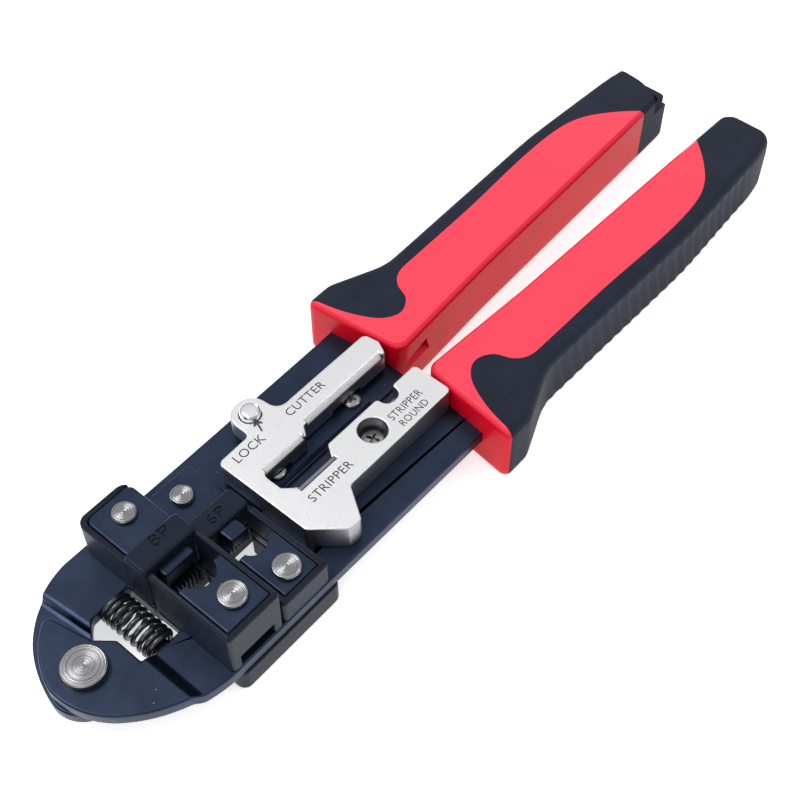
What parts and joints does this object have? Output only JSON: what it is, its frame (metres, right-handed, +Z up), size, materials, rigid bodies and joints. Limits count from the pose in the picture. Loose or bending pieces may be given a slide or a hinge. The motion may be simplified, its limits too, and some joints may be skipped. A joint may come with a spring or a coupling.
{
  "type": "modular plug crimping tool",
  "caption": "Hand crimping tool with pivoted steel arms, plug nests and rams, a cast stripper and cutter body, a lock button and two-colour handles.",
  "frame": {"origin": "centre of the footprint on the surface the tool lies on", "axes": "+X from the pivot towards the handle ends, +Y towards the moving arm, +Z up"},
  "size_m": [0.2292, 0.0614, 0.0247],
  "materials": {
    "blued_steel": "satin",
    "turned_steel": "turned",
    "black_spring_steel": "gloss",
    "black_moulding": "matte",
    "satin_casting": "satin, slightly grainy",
    "plated_screw": "bright",
    "blade_steel": "ground",
    "polished_knob": "polished",
    "red_plastic": "satin gloss",
    "black_rubber": "matte"
  },
  "bodies": {
    "fixed_arm": {"right_arm": "blued_steel", "pivot_rivet": "turned_steel", "return_spring": "black_spring_steel", "nest_frame_8p": "black_moulding", "nest_plate_8p": "blued_steel", "nest_rivet_8p": "turned_steel", "nest_frame_6p": "black_moulding", "nest_plate_6p": "blued_steel", "nest_rivet_6p": "turned_steel", "nest_underblock": "black_moulding", "stripper_body": "satin_casting", "stripper_body_screw": "plated_screw", "stripper_blade": "blade_steel", "round_cable_blade": "blade_steel", "right_handle_shell": "red_plastic", "right_handle_grip": "black_rubber"},
    "moving_arm": {"left_arm": "blued_steel", "ram_block_8p": "black_moulding", "ram_plate_8p": "blued_steel", "ram_rivet_8p": "turned_steel", "contact_comb_8p": "blued_steel", "strain_pusher_8p": "blued_steel", "ram_block_6p": "black_moulding", "ram_plate_6p": "blued_steel", "ram_rivet_6p": "turned_steel", "contact_comb_6p": "blued_steel", "strain_pusher_6p": "blued_steel", "ram_underblock": "black_moulding", "cutter_blade": "blued_steel", "cutter_blade_screws": "plated_screw", "left_handle_shell": "red_plastic", "left_handle_grip": "black_rubber"},
    "lock": {"lock_knob": "polished_knob"}
  },
  "joints": [
    {"name": "arm_pivot", "type": "hinge", "parent": "fixed_arm", "child": "moving_arm", "pos_m": [-0.10595, 0.0007, 0.0087], "axis": [0, 0, 1], "range_deg": [0, 10], "deforming": ["return_spring"]},
    {"name": "lock_press", "type": "slide", "parent": "fixed_arm", "child": "lock", "axis": [0, 0, -1], "range_m": [0, 0.0012]}
  ]
}
